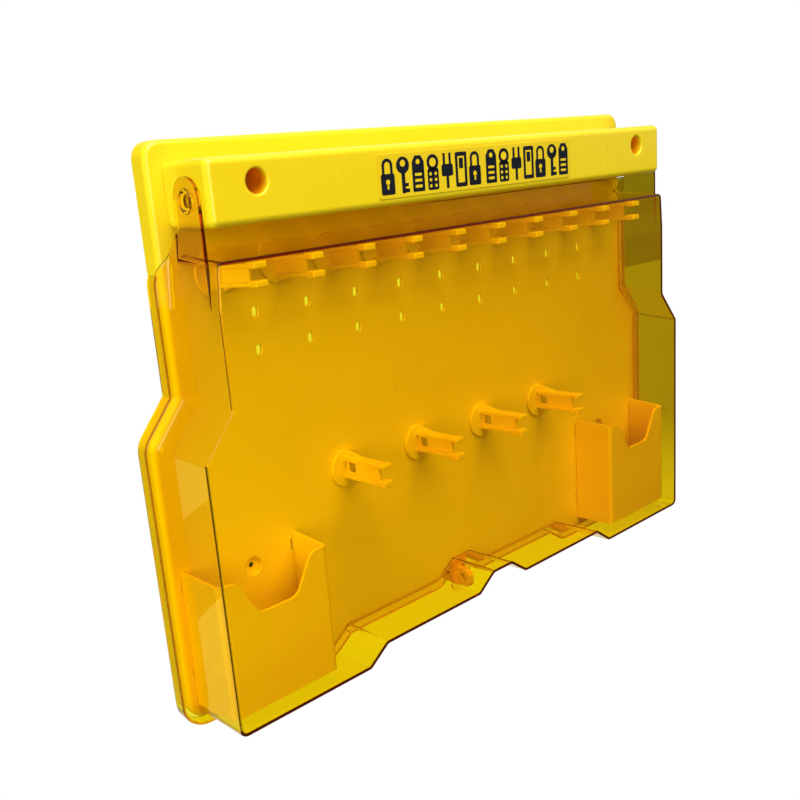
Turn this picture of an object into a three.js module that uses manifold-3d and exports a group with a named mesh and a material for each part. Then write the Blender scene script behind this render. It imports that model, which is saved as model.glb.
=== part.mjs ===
// Wall-mounted lockout station: a yellow back board and header box, a hinged amber cover,
// fourteen hanging hooks, two bins and a padlock lug.
// Millimetres. X runs along the wall, +Z is up and the front faces -Y.
// Heights in the constants are measured up from a datum just above the cover's bottom edge;
// the origin sits on the back of the board's middle pad, PAD_HEIGHT above that datum.
import * as THREE from 'three';
import { mergeVertices } from 'three/addons/utils/BufferGeometryUtils.js';
import Module from 'manifold-3d';

const GAP = 0.3;
const PAD_HEIGHT = 200;
const PAD_SIZE = 60;

// cover: outline of the front face, then draft, walls and flange
const COVER_FRONT = 73.1;
const COVER_TOP = 328.6;
const COVER_TOP_HALF = 241.2;
const SHOULDER_HEIGHT = 297.4;
const UPPER_HALF = 243.6;
const UPPER_KINK = 233.2;
const LOWER_KINK = 204.1;
const LOWER_HALF = 267;
const BOTTOM_LOW = 6.6;
const BOTTOM_MID = 20.2;
const BOTTOM_HIGH = 33.6;
const LOW_STEP = [150.9, 132.4];
const HIGH_STEP = [29.1, 11.2];
const DRAFT = 4;
const COVER_WALL = 2.2;
const COVER_EDGE = 1.2;
const FLANGE_WIDTH = 10.8;
const FLANGE_THICK = 2;
const FLANGE_TOP = 331.5;
const FLANGE_CORNER = 20;
const SKIRT_BACK = 8;
const SKIRT_TOP = 319.5;

// neck panel and ears of the cover, which hang it from the pivots
const NECK_FOOT = 28.8;
const NECK_FRONT = 32;
const NECK_TOP = 345.5;
const NECK_THICK = 1.8;
const RELIEF_FRONT = 33;
const RELIEF_TOP = 330.9;
const RELIEF_HALF = 236;
const PIVOT_DEPTH = 49.2;
const PIVOT_HEIGHT = 366.2;
const EAR_RADIUS = 15.2;
const EAR_OUTER = 244.6;
const EAR_INNER = 242.2;
const EAR_FOOT = 299;
const EAR_FLARE_TOP = 348.5;
const PIN_DIAMETER = 8;
const PIN_HEAD = 16.2;
const PIN_INNER_END = 234;
const PIN_HEAD_FACE = 245.4;

// back board
const BOARD_FRONT = 17.2;
const BOARD_WALL = 2.5;
const BOARD_TOP = 405.5;
const BOARD_CORNER = 12;
const BOARD_EDGE = 4;
const BOARD_INSIDE_FLANGE = 5.4;
const RIB_PLACES = [-161, -69, 69, 161];
const RIB_THICK = 2.4;
const RIB_BACK = 1;
const HOLE_ROWS = [284.3, 256.7];
const HOLE_PITCH = 46;
const HOLE_COUNT = 9;
const HOLE_WIDTH = 4.6;
const HOLE_HEIGHT = 7.4;
const TOP_SCREW = [204.5, 375];
const LOW_SCREW = [210, 97.2];
const PANEL_LAP = 0.5;
const SCREW_DIAMETER = 4;
const SCREW_SEAT = 13.6;
const SCREW_SEAT_DEPTH = 4;
const SCREW_BOSS = 20;

// padlock lug and the tongue of the cover around it
const LUG_HALF = 2.6;
const LUG_FRONT = 32.8;
const LUG_BACK = 4;
const LUG_TOP = 18.2;
const LUG_BOTTOM = 1;
const LUG_SLOT_GAP = 1.2;
const LUG_EYE = [24.8, 9.8];
const LUG_EYE_DIAMETER = 8;
const TONGUE_HALF = 12;
const BOARD_TONGUE_HALF = 8;
const TONGUE_BOTTOM = -6;

// header box and label
const HEADER_HALF = 240.7;
const HEADER_FRONT = 71.2;
const HEADER_BOTTOM = 348.6;
const HEADER_TOP = 391.5;
const HEADER_WALL = 2.5;
const HEADER_EDGE = 5;
const SLEEVE_OUTER = 21;
const SLEEVE_INNER = 16.2;
const SLEEVE_FLOOR = 2.5;
const LABEL_SIZE = [211.6, 30.8];
const LABEL_HEIGHT = 369.6;
const LABEL_THICK = 0.5;

// hooks: prongs are [rise of the root, rise of the tip, thickness of the tip], and ribs are
// outlines of [depth, rise], with every rise measured from the middle of the hook's round base
const HOOK_FLANGE = 15.7;
const HOOK_FLANGE_THICK = 2.3;
const HOOK_PEG = 7;
const HOOK_ROOT = 18.5;
const HOOK_WEB = 1.2;
const UPPER_HOOK = {
  thick: 3,
  half: 4,
  tipStart: 58,
  tipEnd: 67.5,
  tipHalf: 5,
  prongs: [
    [2.6, 5.6, 4.6],
    [-10.2, -6.7, 4.6],
  ],
  ribs: [
    [[HOOK_ROOT, 3], [HOOK_ROOT, -10], [54, -7.5], [54, 4.5]],
    [[HOOK_ROOT, -9], [HOOK_ROOT, -14], [42, -8.5]],
  ],
};
const LOWER_HOOK = {
  thick: 3.2,
  half: 4.2,
  tipStart: 60,
  tipEnd: 68,
  tipHalf: 4.2,
  prongs: [
    [8.4, 10.8, 3.2],
    [-6.2, -3.2, 5.2],
  ],
  ribs: [
    [[HOOK_ROOT, 8.5], [HOOK_ROOT, -6], [59, -4], [59, 10]],
    [[HOOK_ROOT, 14.4], [HOOK_ROOT, 8], [44, 10.6]],
  ],
};
const UPPER_HOOKS = 10;
const UPPER_HOOK_HEIGHT = 317;
const LOWER_HOOK_HEIGHT = 148.2;
const LOWER_HOOK_PLACES = [-116.3, -38.8, 38.8, 116.3];

// bins
const BIN_OUTER_BACK = 266.9;
const BIN_OUTER_FRONT = 262.6;
const BIN_INNER = 172.2;
const BIN_FRONT = 58.9;
const BIN_TOP = 113.3;
const BIN_FLOOR_BACK = 8.8;
const BIN_FLOOR_FRONT = 12.3;
const BIN_WALL = 2.4;
const BIN_CORNER = 4;
const BIN_TAB_HEIGHTS = [102, 33];
const BIN_TAB = [2, 8];
const BIN_SLOT = [5, 10];
const BIN_CUT_TOP = 31.5;
const BIN_CUT_FLOOR = 16;
const BIN_CUT_HEIGHT = 83.6;

const ARC_STEPS = 4;
const ROUND = 20;

const wasm = await Module();
wasm.setup();

const plastic = (color, roughness) => new THREE.MeshStandardMaterial({ color, roughness, metalness: 0 });
const boardYellow = () => plastic(0xf5d71e, 0.35);
const hookYellow = () => plastic(0xf2cf1c, 0.4);
const binYellow = () => plastic(0xf0c818, 0.4);
const labelYellow = () => plastic(0xf2cd10, 0.5);
const pinYellow = () => plastic(0xe6b410, 0.4);
const coverAmber = () =>
  new THREE.MeshStandardMaterial({
    color: 0xe08a00,
    roughness: 0.12,
    metalness: 0,
    transparent: true,
    opacity: 0.4,
  });

// ---- solids ----

function solidFrom(geometry) {
  geometry.deleteAttribute('normal');
  geometry.deleteAttribute('uv');
  const merged = mergeVertices(geometry, 1e-4);
  return new wasm.Manifold(
    new wasm.Mesh({
      numProp: 3,
      vertProperties: Float32Array.from(merged.attributes.position.array),
      triVerts: Uint32Array.from(merged.index.array),
    }),
  );
}

function meshFrom(solid) {
  const data = solid.getMesh();
  const geometry = new THREE.BufferGeometry();
  const positions = Float32Array.from(data.vertProperties);
  geometry.setAttribute('position', new THREE.BufferAttribute(positions, 3));
  geometry.setIndex(Array.from(data.triVerts));
  geometry.translate(0, 0, -PAD_HEIGHT);
  geometry.computeVertexNormals();
  return geometry;
}

const join = (first, ...others) => others.reduce((whole, next) => whole.add(next), first);
const cut = (first, ...others) => others.reduce((whole, next) => whole.subtract(next), first);

// a box from its corner ranges; depths are distances in front of the wall
function box([left, right], [back, front], [low, high]) {
  const geometry = new THREE.BoxGeometry(right - left, front - back, high - low);
  geometry.translate((left + right) / 2, -(back + front) / 2, (low + high) / 2);
  return solidFrom(geometry);
}

// an outline in X and height, pushed out from depth back to depth front
function plate(outline, back, front) {
  return loft([
    { outline, depth: back },
    { outline, depth: front },
  ]);
}

// an outline in depth and height, pushed along X
function sidePlate(outline, left, right) {
  const shape = new THREE.Shape(outline);
  const geometry = new THREE.ExtrudeGeometry(shape, { depth: right - left, bevelEnabled: false });
  // local x becomes depth, local y height, and local z runs from right to left
  geometry.applyMatrix4(new THREE.Matrix4().set(0, 0, -1, right, -1, 0, 0, 0, 0, 1, 0, 0, 0, 0, 0, 1));
  return solidFrom(geometry);
}

function cylinderAlongY(diameter, x, height, back, front, sides = ROUND) {
  const geometry = new THREE.CylinderGeometry(diameter / 2, diameter / 2, front - back, sides);
  geometry.translate(x, -(back + front) / 2, height);
  return solidFrom(geometry);
}

function cylinderAlongX(diameter, depth, height, left, right, sides = ROUND) {
  const geometry = new THREE.CylinderGeometry(diameter / 2, diameter / 2, right - left, sides);
  geometry.rotateZ(Math.PI / 2);
  geometry.translate((left + right) / 2, -depth, height);
  return solidFrom(geometry);
}

// a closed solid through outlines of equal length, each at its own depth, back one first
function loft(sections) {
  const count = sections[0].outline.length;
  const positions = [];
  for (const { outline, depth } of sections) {
    for (const point of outline) {
      positions.push(point.x, -depth, point.y);
    }
  }
  const faces = [];
  for (let ring = 0; ring + 1 < sections.length; ring += 1) {
    for (let i = 0; i < count; i += 1) {
      const next = (i + 1) % count;
      const a = ring * count + i;
      const b = ring * count + next;
      faces.push(a, b, b + count, a, b + count, a + count);
    }
  }
  const lastRing = (sections.length - 1) * count;
  for (const [i, j, k] of THREE.ShapeUtils.triangulateShape(sections[0].outline, [])) {
    faces.push(k, j, i);
  }
  for (const [i, j, k] of THREE.ShapeUtils.triangulateShape(sections.at(-1).outline, [])) {
    faces.push(lastRing + i, lastRing + j, lastRing + k);
  }
  const geometry = new THREE.BufferGeometry();
  geometry.setAttribute('position', new THREE.Float32BufferAttribute(positions, 3));
  geometry.setIndex(faces);
  return solidFrom(geometry);
}

// ---- outlines ----

// corners are [x, height, radius], counter-clockwise; distance moves every edge outwards
function outlineOf(corners, distance = 0, steps = ARC_STEPS) {
  const count = corners.length;
  const spots = corners.map(([x, y]) => new THREE.Vector2(x, y));
  const normals = spots.map((spot, i) => {
    const along = spots[(i + 1) % count].clone().sub(spot).normalize();
    return new THREE.Vector2(along.y, -along.x);
  });
  const moved = spots.map((spot, i) => {
    const before = normals[(i + count - 1) % count];
    const after = normals[i];
    const push = before.clone().add(after).multiplyScalar(distance / (1 + before.dot(after)));
    return spot.clone().add(push);
  });
  const outline = [];
  for (let i = 0; i < count; i += 1) {
    const before = normals[(i + count - 1) % count];
    const after = normals[i];
    const turn = Math.sign(before.cross(after));
    const radius = Math.max(corners[i][2] + turn * distance, 0.4);
    const half = Math.acos(THREE.MathUtils.clamp(before.dot(after), -1, 1)) / 2;
    const inwards = before.clone().add(after).normalize();
    const centre = moved[i].clone().addScaledVector(inwards, (-turn * radius) / Math.cos(half));
    const start = Math.atan2(turn * before.y, turn * before.x);
    for (let step = 0; step <= steps; step += 1) {
      const angle = start + (turn * 2 * half * step) / steps;
      const point = new THREE.Vector2(Math.cos(angle), Math.sin(angle)).multiplyScalar(radius);
      outline.push(point.add(centre));
    }
  }
  return outline;
}

function mirrored(rightHalf) {
  const left = rightHalf.map(([x, y, radius]) => [-x, y, radius]).reverse();
  return [...rightHalf, ...left];
}

function rectangle(left, right, low, high, radius) {
  return [
    [left, low, radius],
    [right, low, radius],
    [right, high, radius],
    [left, high, radius],
  ];
}

// the stepped lower edge and kinked sides that the cover and the board share
const lowerCorners = [
  [HIGH_STEP[1], BOTTOM_HIGH, 5],
  [HIGH_STEP[0], BOTTOM_MID, 5],
  [LOW_STEP[1], BOTTOM_MID, 5],
  [LOW_STEP[0], BOTTOM_LOW, 5],
  [LOWER_HALF, BOTTOM_LOW, 6],
  [LOWER_HALF, LOWER_KINK, 4],
  [UPPER_HALF, UPPER_KINK, 6],
];
const coverCorners = mirrored([
  ...lowerCorners,
  [UPPER_HALF, SHOULDER_HEIGHT, 20],
  [COVER_TOP_HALF, COVER_TOP, 4],
]);
const flangeOffset = DRAFT + FLANGE_WIDTH;
const flangeCorners = mirrored([
  ...lowerCorners,
  [UPPER_HALF, FLANGE_TOP - flangeOffset, FLANGE_CORNER - flangeOffset],
]);
const boardOffset = flangeOffset - BOARD_INSIDE_FLANGE;
const boardCorners = mirrored([
  ...lowerCorners,
  [UPPER_HALF, BOARD_TOP - boardOffset, BOARD_CORNER - boardOffset],
]);

// ---- board ----

function slot(x, height, width, tall) {
  const [left, right] = [x - width / 2, x + width / 2];
  const corners = rectangle(left, right, height - tall / 2, height + tall / 2, width / 2 - 0.05);
  return plate(outlineOf(corners, 0, 2), 0, BOARD_FRONT + 5);
}

function tongueOutline(half, bottom, radius) {
  return outlineOf([
    [-half, bottom, radius],
    [half, bottom, radius],
    [half, BOTTOM_MID + 6, 0.4],
    [-half, BOTTOM_MID + 6, 0.4],
  ]);
}

function boardShell() {
  const depths = [0, BOARD_FRONT - BOARD_EDGE];
  const sections = depths.map((depth) => ({ outline: outlineOf(boardCorners, boardOffset), depth }));
  for (let step = 1; step <= 3; step += 1) {
    const angle = (step / 3) * (Math.PI / 2);
    sections.push({
      outline: outlineOf(boardCorners, boardOffset - BOARD_EDGE * (1 - Math.cos(angle))),
      depth: BOARD_FRONT - BOARD_EDGE + BOARD_EDGE * Math.sin(angle),
    });
  }
  const inside = plate(outlineOf(boardCorners, boardOffset - BOARD_WALL), -1, BOARD_FRONT - BOARD_WALL);
  return cut(loft(sections), inside);
}

function boardRibs() {
  const panelBack = BOARD_FRONT - BOARD_WALL + PANEL_LAP;
  const ribs = [];
  for (const x of RIB_PLACES) {
    const across = [x - RIB_THICK / 2, x + RIB_THICK / 2];
    ribs.push(box(across, [RIB_BACK, panelBack], [BOTTOM_MID, BOARD_TOP - BOARD_WALL]));
  }
  for (const height of [PAD_HEIGHT - PAD_SIZE / 2, PAD_HEIGHT + PAD_SIZE / 2]) {
    const tall = [height - RIB_THICK / 2, height + RIB_THICK / 2];
    ribs.push(box([-HEADER_HALF, HEADER_HALF], [RIB_BACK, panelBack], tall));
  }
  return ribs;
}

function padlockLug() {
  const corners = [
    [LUG_BACK, LUG_BOTTOM, 0.4],
    [LUG_FRONT, LUG_BOTTOM, 7],
    [LUG_FRONT, LUG_TOP, 7],
    [LUG_BACK, LUG_TOP, 0.4],
  ];
  const body = sidePlate(outlineOf(corners), -LUG_HALF, LUG_HALF);
  const eye = cylinderAlongX(LUG_EYE_DIAMETER, LUG_EYE[0], LUG_EYE[1], -2 * LUG_HALF, 2 * LUG_HALF);
  return cut(body, eye);
}

function backBoard() {
  const half = PAD_SIZE / 2;
  const panelBack = BOARD_FRONT - BOARD_WALL + PANEL_LAP;
  const pad = box([-half, half], [0, panelBack], [PAD_HEIGHT - half, PAD_HEIGHT + half]);
  const screwPlaces = [TOP_SCREW, LOW_SCREW].flatMap(([x, height]) => [
    [-x, height],
    [x, height],
  ]);
  const bosses = screwPlaces.map(([x, height]) => cylinderAlongY(SCREW_BOSS, x, height, 0, panelBack));
  const inset = TONGUE_HALF - BOARD_TONGUE_HALF;
  const tongue = plate(tongueOutline(BOARD_TONGUE_HALF, TONGUE_BOTTOM + inset, 6), 0, BOARD_FRONT);
  const solid = join(boardShell(), pad, ...boardRibs(), ...bosses, tongue);

  const past = BOARD_FRONT + 1;
  const openings = [];
  for (const [x, height] of screwPlaces) {
    openings.push(cylinderAlongY(SCREW_DIAMETER, x, height, -1, past, 16));
  }
  const [seatX, seatHeight] = LOW_SCREW;
  for (const x of [-seatX, seatX]) {
    openings.push(cylinderAlongY(SCREW_SEAT, x, seatHeight, BOARD_FRONT - SCREW_SEAT_DEPTH, past));
  }
  for (const height of HOLE_ROWS) {
    for (let i = 0; i < HOLE_COUNT; i += 1) {
      openings.push(slot((i - (HOLE_COUNT - 1) / 2) * HOLE_PITCH, height, HOLE_WIDTH, HOLE_HEIGHT));
    }
  }
  for (const [x, height] of hookPlaces) {
    openings.push(cylinderAlongY(HOOK_PEG + 2 * GAP, x, height, -1, past, 12));
  }
  const lugAcross = [-LUG_HALF - GAP, LUG_HALF + GAP];
  openings.push(box(lugAcross, [-1, past], [LUG_BOTTOM - GAP, LUG_TOP + GAP]));
  for (const side of [-1, 1]) {
    for (const x of binTabPlaces) {
      for (const height of BIN_TAB_HEIGHTS) {
        const [halfWidth, halfHeight] = [BIN_SLOT[0] / 2, BIN_SLOT[1] / 2];
        const across = [side * x - halfWidth, side * x + halfWidth];
        openings.push(box(across, [BOARD_WALL, past], [height - halfHeight, height + halfHeight]));
      }
    }
  }
  return cut(solid, ...openings);
}

// ---- header ----

// clearance holes at both ends round a pivot pin's shaft or its head
function pinHoles(diameter) {
  const wide = diameter + 2 * GAP;
  return [
    cylinderAlongX(wide, PIVOT_DEPTH, PIVOT_HEIGHT, -LOWER_HALF, -PIN_INNER_END),
    cylinderAlongX(wide, PIVOT_DEPTH, PIVOT_HEIGHT, PIN_INNER_END, LOWER_HALF),
  ];
}

function headerBox() {
  const outer = rectangle(-HEADER_HALF, HEADER_HALF, HEADER_BOTTOM, HEADER_TOP, HEADER_EDGE);
  const back = BOARD_FRONT + GAP;
  const sections = [
    { outline: outlineOf(outer), depth: back },
    { outline: outlineOf(outer), depth: HEADER_FRONT - HEADER_EDGE },
  ];
  for (let step = 1; step <= 3; step += 1) {
    const angle = (step / 3) * (Math.PI / 2);
    sections.push({
      outline: outlineOf(outer, -(HEADER_EDGE - 0.2) * (1 - Math.cos(angle))),
      depth: HEADER_FRONT - HEADER_EDGE + HEADER_EDGE * Math.sin(angle),
    });
  }
  const inside = plate(outlineOf(outer, -HEADER_WALL), back - 5, HEADER_FRONT - HEADER_WALL);
  const holes = [];
  const sleeves = [];
  const [screwX, screwHeight] = TOP_SCREW;
  for (const side of [-1, 1]) {
    const [x, floor] = [side * screwX, back + SLEEVE_FLOOR];
    sleeves.push(cylinderAlongY(SLEEVE_OUTER, x, screwHeight, back, HEADER_FRONT - 1));
    holes.push(cylinderAlongY(SLEEVE_INNER, x, screwHeight, floor, HEADER_FRONT + 5));
    holes.push(cylinderAlongY(SCREW_DIAMETER, x, screwHeight, back - 5, floor + 1, 16));
  }
  return cut(join(cut(loft(sections), inside), ...sleeves), ...holes, ...pinHoles(PIN_DIAMETER));
}

function labelPlate() {
  const [width, height] = LABEL_SIZE;
  const [low, high] = [LABEL_HEIGHT - height / 2, LABEL_HEIGHT + height / 2];
  const corners = rectangle(-width / 2, width / 2, low, high, 1.5);
  const back = HEADER_FRONT + GAP;
  return plate(outlineOf(corners), back, back + LABEL_THICK);
}

// ---- cover ----

const draftAt = (depth) => (DRAFT * (COVER_FRONT - depth)) / (COVER_FRONT - BOARD_FRONT - GAP);

function coverShell() {
  const foot = BOARD_FRONT + GAP;
  const edgeDepth = COVER_FRONT - COVER_EDGE;
  const sections = [
    { outline: outlineOf(coverCorners, draftAt(foot)), depth: foot },
    { outline: outlineOf(coverCorners, draftAt(edgeDepth)), depth: edgeDepth },
  ];
  for (let step = 1; step <= 2; step += 1) {
    const angle = (step / 2) * (Math.PI / 2);
    const depth = edgeDepth + COVER_EDGE * Math.sin(angle);
    const distance = draftAt(depth) - COVER_EDGE * (1 - Math.cos(angle));
    sections.push({ outline: outlineOf(coverCorners, distance), depth });
  }
  return loft(sections);
}

function coverInside() {
  const front = COVER_FRONT - COVER_WALL;
  return loft([
    { outline: outlineOf(coverCorners, draftAt(0) - COVER_WALL), depth: 0 },
    { outline: outlineOf(coverCorners, draftAt(front) - COVER_WALL), depth: front },
  ]);
}

function coverFlange() {
  const foot = BOARD_FRONT + GAP;
  const front = foot + FLANGE_THICK;
  const chamfer = 1.2;
  const plateAndSkirt = loft([
    { outline: outlineOf(flangeCorners, flangeOffset), depth: SKIRT_BACK },
    { outline: outlineOf(flangeCorners, flangeOffset), depth: front - chamfer },
    { outline: outlineOf(flangeCorners, flangeOffset - chamfer), depth: front },
  ]);
  const behind = plate(outlineOf(flangeCorners, flangeOffset - FLANGE_THICK), -1, foot);
  const tongue = plate(tongueOutline(TONGUE_HALF, TONGUE_BOTTOM, 10), foot, front);
  const boardSide = UPPER_HALF + boardOffset + 0.4;
  const gaps = [
    box([-TONGUE_HALF, TONGUE_HALF], [-1, foot], [TONGUE_BOTTOM - 5, BOTTOM_HIGH]),
    box([-boardSide, boardSide], [-1, foot], [EAR_FOOT, FLANGE_TOP + 5]),
    box([-LOWER_HALF, LOWER_HALF], [-1, foot], [SKIRT_TOP, FLANGE_TOP + 5]),
  ];
  return join(cut(plateAndSkirt, behind, ...gaps), tongue);
}

// the ear that hangs from the pivot, sloping back to the flange under the header
function earOutline() {
  const foot = BOARD_FRONT + GAP;
  const points = [
    new THREE.Vector2(foot, EAR_FOOT),
    new THREE.Vector2(PIVOT_DEPTH + EAR_RADIUS, EAR_FOOT),
  ];
  for (let step = 0; step <= 16; step += 1) {
    const angle = (step / 16) * Math.PI;
    const round = new THREE.Vector2(Math.cos(angle), Math.sin(angle)).multiplyScalar(EAR_RADIUS);
    points.push(round.add(new THREE.Vector2(PIVOT_DEPTH, PIVOT_HEIGHT)));
  }
  points.push(new THREE.Vector2(PIVOT_DEPTH - EAR_RADIUS, EAR_FLARE_TOP));
  points.push(new THREE.Vector2(foot, FLANGE_TOP));
  return points;
}

function coverEar(side) {
  const ear = sidePlate(earOutline(), EAR_INNER, EAR_OUTER);
  return side > 0 ? ear : ear.mirror([1, 0, 0]);
}

// the panel between the ears, leaning forwards from the cover's top to under the header
function neckPanel() {
  const half = EAR_INNER + 1;
  const shelf = COVER_TOP + draftAt(NECK_FOOT) - COVER_WALL + 0.1;
  const outline = [
    new THREE.Vector2(NECK_FOOT - NECK_THICK, shelf),
    new THREE.Vector2(NECK_FOOT, shelf),
    new THREE.Vector2(NECK_FRONT, NECK_TOP),
    new THREE.Vector2(NECK_FRONT - NECK_THICK, NECK_TOP),
  ];
  return sidePlate(outline, -half, half);
}

// a taper under the case's top wall by the neck, which keeps it clear of the hooks as it swings
function hookRelief() {
  const low = COVER_TOP - 6;
  const back = NECK_FOOT - NECK_THICK - 1;
  const outline = [
    new THREE.Vector2(back, low),
    new THREE.Vector2(RELIEF_FRONT, low),
    new THREE.Vector2(RELIEF_FRONT, COVER_TOP + draftAt(RELIEF_FRONT) - COVER_WALL),
    new THREE.Vector2(back + 1, RELIEF_TOP),
    new THREE.Vector2(back, RELIEF_TOP),
  ];
  return sidePlate(outline, -RELIEF_HALF, RELIEF_HALF);
}

function cover() {
  const shell = cut(join(coverShell(), coverFlange(), coverEar(-1), coverEar(1)), coverInside());
  const neckBack = NECK_FOOT - NECK_THICK;
  const opening = box([-EAR_INNER, EAR_INNER], [5, neckBack], [COVER_TOP - 6, NECK_TOP]);
  const slotHalf = LUG_HALF + LUG_SLOT_GAP;
  const slotTall = [LUG_BOTTOM - LUG_SLOT_GAP - 1, LUG_TOP + LUG_SLOT_GAP];
  const lugSlot = box([-slotHalf, slotHalf], [5, BOARD_FRONT + 8], slotTall);
  const hung = join(cut(shell, opening), neckPanel());
  return cut(hung, hookRelief(), lugSlot, ...pinHoles(PIN_HEAD));
}

// a stud whose broad head fills the ear's hole and whose shaft turns in the header's end
function pivotPin(side) {
  const headBack = HEADER_HALF + GAP;
  const rim = 0.8;
  const rimEnd = PIN_HEAD_FACE - rim;
  const pin = join(
    cylinderAlongX(PIN_DIAMETER, PIVOT_DEPTH, PIVOT_HEIGHT, PIN_INNER_END, headBack + 0.5),
    cylinderAlongX(PIN_HEAD, PIVOT_DEPTH, PIVOT_HEIGHT, headBack, rimEnd),
    cylinderAlongX(PIN_HEAD - 2 * rim, PIVOT_DEPTH, PIVOT_HEIGHT, rimEnd - 0.1, PIN_HEAD_FACE),
  );
  return side > 0 ? pin : pin.mirror([1, 0, 0]);
}

// ---- hooks ----

const hookPlaces = [];
for (let i = 0; i < UPPER_HOOKS; i += 1) {
  hookPlaces.push([(i - (UPPER_HOOKS - 1) / 2) * HOLE_PITCH, UPPER_HOOK_HEIGHT]);
}
for (const x of LOWER_HOOK_PLACES) {
  hookPlaces.push([x, LOWER_HOOK_HEIGHT]);
}

// one prong: a bar that rises a little towards its tip, with a block at the end
function prong(x, height, shape, [rootRise, tipRise, tipThick]) {
  const slope = (tipRise - rootRise) / (shape.tipEnd - HOOK_ROOT);
  const edge = (depth, side) =>
    new THREE.Vector2(
      depth,
      height + rootRise + slope * (depth - HOOK_ROOT) + (side * shape.thick) / 2,
    );
  const barEnd = shape.tipEnd - 1;
  const bar = [edge(HOOK_ROOT, -1), edge(barEnd, -1), edge(barEnd, 1), edge(HOOK_ROOT, 1)];
  const tip = box(
    [x - shape.tipHalf, x + shape.tipHalf],
    [shape.tipStart, shape.tipEnd],
    [height + tipRise - tipThick / 2, height + tipRise + tipThick / 2],
  );
  return join(sidePlate(bar, x - shape.half, x + shape.half), tip);
}

// a web or gusset that starts at the hook's base; its points are given from the hook's middle
function hookRib(x, height, points) {
  const outline = points.map(([depth, rise]) => new THREE.Vector2(depth, height + rise));
  return sidePlate(outline, x - HOOK_WEB, x + HOOK_WEB);
}

function hook(x, height, shape) {
  const back = BOARD_FRONT + GAP;
  return join(
    cylinderAlongY(2 * HOOK_FLANGE, x, height, back, back + HOOK_FLANGE_THICK),
    cylinderAlongY(HOOK_PEG, x, height, back - 6, back + 1, 12),
    ...shape.prongs.map((rises) => prong(x, height, shape, rises)),
    ...shape.ribs.map((points) => hookRib(x, height, points)),
  );
}

const upperHook = (x, height) => hook(x, height, UPPER_HOOK);

function lowerHook(x, height) {
  const window = box([x - 3, x + 3], [22, 30], [height - 2.5, height + 5]);
  return cut(hook(x, height, LOWER_HOOK), window);
}

// ---- bins ----

const binTabPlaces = [BIN_OUTER_BACK - BIN_WALL / 2, BIN_INNER + BIN_WALL / 2];

function binPlan(inset) {
  const back = BOARD_FRONT + GAP - (inset > 0 ? 5 : 0);
  const front = BIN_FRONT - inset;
  return outlineOf([
    [BIN_INNER + inset, -front, BIN_CORNER - inset / 2],
    [BIN_OUTER_FRONT - inset, -front, BIN_CORNER - inset / 2],
    [BIN_OUTER_BACK - inset, -back, 0.4],
    [BIN_INNER + inset, -back, 0.4],
  ]);
}

// everything above the bin's sloping floor, raised by the given amount
function aboveFloor(raise) {
  const [back, front] = [5, 80];
  const slope = (BIN_FLOOR_FRONT - BIN_FLOOR_BACK) / (BIN_FRONT - BOARD_FRONT);
  const floorAt = (depth) => BIN_FLOOR_BACK + raise + slope * (depth - BOARD_FRONT);
  const outline = [
    new THREE.Vector2(back, floorAt(back)),
    new THREE.Vector2(front, floorAt(front)),
    new THREE.Vector2(front, BIN_TOP + 2 * raise),
    new THREE.Vector2(back, BIN_TOP + 2 * raise),
  ];
  return sidePlate(outline, BIN_INNER - 10, BIN_OUTER_BACK + 10);
}

function bin(side) {
  const tall = (inset) => {
    const shape = new THREE.Shape(binPlan(inset));
    return solidFrom(new THREE.ExtrudeGeometry(shape, { depth: 2 * BIN_TOP, bevelEnabled: false }));
  };
  const outer = tall(0).intersect(aboveFloor(0));
  const inner = tall(BIN_WALL).intersect(aboveFloor(BIN_WALL));
  const middle = (BIN_INNER + BIN_OUTER_FRONT) / 2;
  const topSlope = (BIN_CUT_TOP - BIN_CUT_FLOOR) / (BIN_TOP - BIN_CUT_HEIGHT);
  const over = 6;
  const finger = outlineOf([
    [middle - BIN_CUT_FLOOR, BIN_CUT_HEIGHT, 9],
    [middle + BIN_CUT_FLOOR, BIN_CUT_HEIGHT, 9],
    [middle + BIN_CUT_TOP + over * topSlope, BIN_TOP + over, 0.4],
    [middle - BIN_CUT_TOP - over * topSlope, BIN_TOP + over, 0.4],
  ]);
  const fingerCut = plate(finger, BIN_FRONT - BIN_WALL - 3, BIN_FRONT + 3);
  const tabs = [];
  for (const x of binTabPlaces) {
    for (const height of BIN_TAB_HEIGHTS) {
      const [half, tallHalf] = [BIN_TAB[0] / 2, BIN_TAB[1] / 2];
      const tall = [height - tallHalf, height + tallHalf];
      tabs.push(box([x - half, x + half], [11, BOARD_FRONT + 2], tall));
    }
  }
  const whole = join(cut(outer, inner, fingerCut), ...tabs);
  return side > 0 ? whole : whole.mirror([1, 0, 0]);
}

// ---- assembly ----

const station = new THREE.Group();

function add(name, solid, material) {
  const mesh = new THREE.Mesh(meshFrom(solid), material);
  mesh.name = name;
  station.add(mesh);
}

add('back_board', backBoard(), boardYellow());
add('header_box', headerBox(), boardYellow());
add('label_plate', labelPlate(), labelYellow());
add('padlock_lug', padlockLug(), boardYellow());
add('cover', cover(), coverAmber());
const sides = [
  ['left', -1],
  ['right', 1],
];
for (const [name, side] of sides) {
  add(`pivot_pin_${name}`, pivotPin(side), pinYellow());
  add(`bin_${name}`, bin(side), binYellow());
}
hookPlaces.forEach(([x, height], i) => {
  if (i < UPPER_HOOKS) {
    add(`hook_upper_${i + 1}`, upperHook(x, height), hookYellow());
  } else {
    add(`hook_lower_${i + 1 - UPPER_HOOKS}`, lowerHook(x, height), hookYellow());
  }
});

export default station;
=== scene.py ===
"""Looks for the wall-mounted lockout station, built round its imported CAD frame.

Sizes are in millimetres: x along the wall, depth in front of the wall, height above the cover's
bottom datum. spot() turns them into metres in the row frame. Fine smooth pieces stand for the
faceted CAD nodes, each inside its node's box.
"""

import math

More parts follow.
